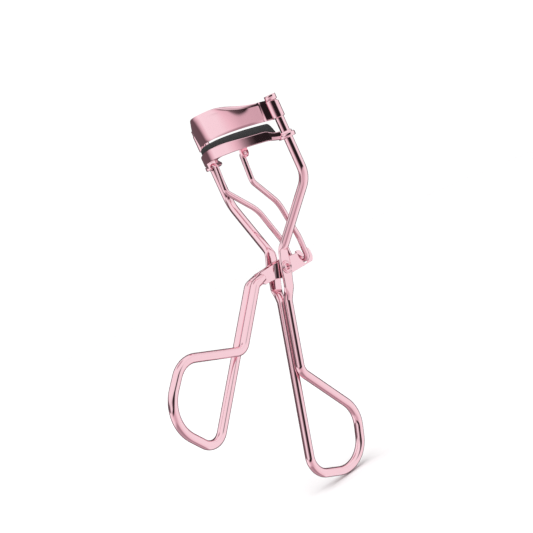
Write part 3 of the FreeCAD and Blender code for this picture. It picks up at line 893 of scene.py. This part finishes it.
# five layers of the tent, from the lowest up
under = tent(around, 360, [
    (-180, 0.95, WHITE), (-130, 0.92, WHITE), (-105, 0.52, DEEP), (-30, 0.50, DEEP),
    (10, 0.40, DUSK), (34, 0.42, DUSK), (58, 0.86, ROSE), (106, 0.94, WHITE),
    (180, 0.95, WHITE)])
table = tent(around, 360, [
    (-180, 0.95, WHITE), (-138, 0.92, WHITE), *LEFT_BAND, (-22, 0.96, WHITE),
    (0, 0.88, ROSE), (20, 0.70, DEEP), (56, 0.64, DEEP), (78, 0.84, ROSE),
    (106, 0.94, WHITE), (180, 0.95, WHITE)])
sides = tent(around, 360, [
    (-180, 0.96, WHITE), (-138, 0.96, WHITE), *LEFT_BAND, (-22, 0.95, WHITE),
    (-6, 0.86, ROSE), (3, 0.68, DEEP), (12, 0.38, DEEP), (24, 0.10, DEEP),
    (34, 0.020, DEEP), (82, 0.016, DEEP), (93, 0.12, DEEP), (104, 0.94, WHITE),
    (180, 0.96, WHITE)])
shelf = tent(around, 360, [
    (-180, 0.96, WHITE), (-130, 0.92, WHITE), (-105, 0.30, DUSK), (-86, 0.13, DUSK),
    (-42, 0.11, DUSK), (-26, 0.32, ROSE), (-8, 0.80, WHITE), (8, 1.0, WHITE),
    (24, 0.85, WHITE), (38, 0.42, DEEP), (52, 0.12, DEEP), (62, 0.03, DEEP),
    (84, 0.02, DEEP), (98, 0.16, DEEP), (110, 0.94, WHITE), (180, 0.96, WHITE)])
above = tent(height, 180, [
    (15, 0.80, WHITE), (35, 0.95, WHITE), (70, 0.97, WHITE), (78, 0.55, DEEP),
    (86, 0.55, DEEP), (90, 0.9, WHITE)])

surroundings = under
for low, high, layer in ((-28, -18, table), (-8, -5, sides), (2, 6, shelf), (17, 24, above)):
    over = tent(height, 180, [(low, 0.0, WHITE), (high, 1.0, WHITE)])
    surroundings = colour_mix(nt, over, surroundings, layer)

# dark card standing behind the object, which draws the thin dark outlines on the wires
facing = nt.nodes.new("ShaderNodeVectorMath")
facing.operation = "DOT_PRODUCT"
link(where.outputs["Generated"], facing.inputs[0])
facing.inputs[1].default_value = TO_CARD
on_card = colour_ramp(nt, facing.outputs["Value"], [(CARD_FROM, BLACK), (CARD_FULL, WHITE)])
card = nt.nodes.new("ShaderNodeRGB")
card.outputs["Color"].default_value = CARD_COLOUR
surroundings = colour_mix(nt, on_card, surroundings, card.outputs["Color"])

# seen directly by the camera, the tent is plain white
path = nt.nodes.new("ShaderNodeLightPath")
backdrop = nt.nodes.new("ShaderNodeRGB")
backdrop.outputs["Color"].default_value = BACKGROUND
seen = colour_mix(nt, path.outputs["Is Camera Ray"], surroundings, backdrop.outputs["Color"])
sky = nt.nodes["Background"]
link(seen, sky.inputs["Color"])
sky.inputs["Strength"].default_value = 1.0

LAMP_AT = Vector((0.2, -0.3, 1.4))  # metres
softbox = bpy.data.lights.new("overhead", "AREA")
softbox.shape = "DISK"
softbox.size = 1.6
softbox.energy = 14.0
lamp = bpy.data.objects.new("overhead", softbox)
lamp.location = LAMP_AT
lamp.rotation_euler = LAMP_AT.to_track_quat("Z", "Y").to_euler()
lamp.visible_glossy = False
bpy.context.scene.collection.objects.link(lamp)

# ---- camera ----
AZ, EL, ROLL = math.radians(48.05), math.radians(6.34), math.radians(24.59)
CAMERA_AT = Vector((242.0, -221.1, 38.4))           # from the pin, in millimetres
back = Vector((math.sin(AZ) * math.cos(EL), -math.cos(AZ) * math.cos(EL), math.sin(EL)))
level_up = (Z_AXIS - back * back.z).normalized()
level_right = level_up.cross(back)
cam_right = level_right * math.cos(ROLL) - level_up * math.sin(ROLL)
cam_up = level_right * math.sin(ROLL) + level_up * math.cos(ROLL)
turned = Matrix((cam_right, cam_up, back)).transposed()
cam_data = bpy.data.cameras.new("camera")
cam_data.lens = 85.05
cam_data.sensor_width = 36.0
cam_data.clip_start = 0.01
cam_data.clip_end = 10.0
cam = bpy.data.objects.new("camera", cam_data)
cam.matrix_world = Matrix.Translation(CAMERA_AT * MM + PIVOT) @ turned.to_4x4()
bpy.context.scene.collection.objects.link(cam)
bpy.context.scene.camera = cam
bpy.context.scene.view_settings.view_transform = "Standard"
